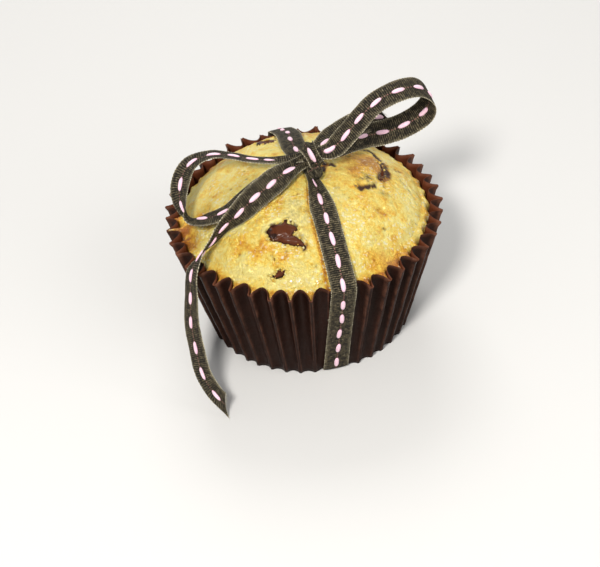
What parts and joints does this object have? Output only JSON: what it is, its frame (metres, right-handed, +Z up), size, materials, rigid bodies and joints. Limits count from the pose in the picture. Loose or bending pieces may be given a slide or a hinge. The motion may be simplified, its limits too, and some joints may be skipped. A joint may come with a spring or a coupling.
{
  "type": "muffin",
  "caption": "Domed muffin with chocolate chunks in a fluted paper case, tied round with a stitched ribbon and a bow on top.",
  "frame": {"origin": "centre of the base, on the surface the muffin stands on", "axes": "+Z up; -Y is the front, where the ribbon's left tail hangs down and the large chocolate chunk shows; +X to the right of the front view"},
  "size_m": [0.0774, 0.0814, 0.0703],
  "materials": {
    "crust": "pale golden baked crust, slightly shiny",
    "paper": "dark brown baking paper, matt",
    "ribbon": "ribbed woven ribbon with a running stitch",
    "chocolate": "melted chocolate, glossy"
  },
  "bodies": {
    "root": {"muffin": "crust", "paper_case": "paper", "ribbon": "ribbon", "chocolate_chunk_front": "chocolate", "chocolate_chunk_low": "chocolate", "chocolate_chunk_right": "chocolate", "chocolate_chunk_back": "chocolate"}
  },
  "joints": []
}
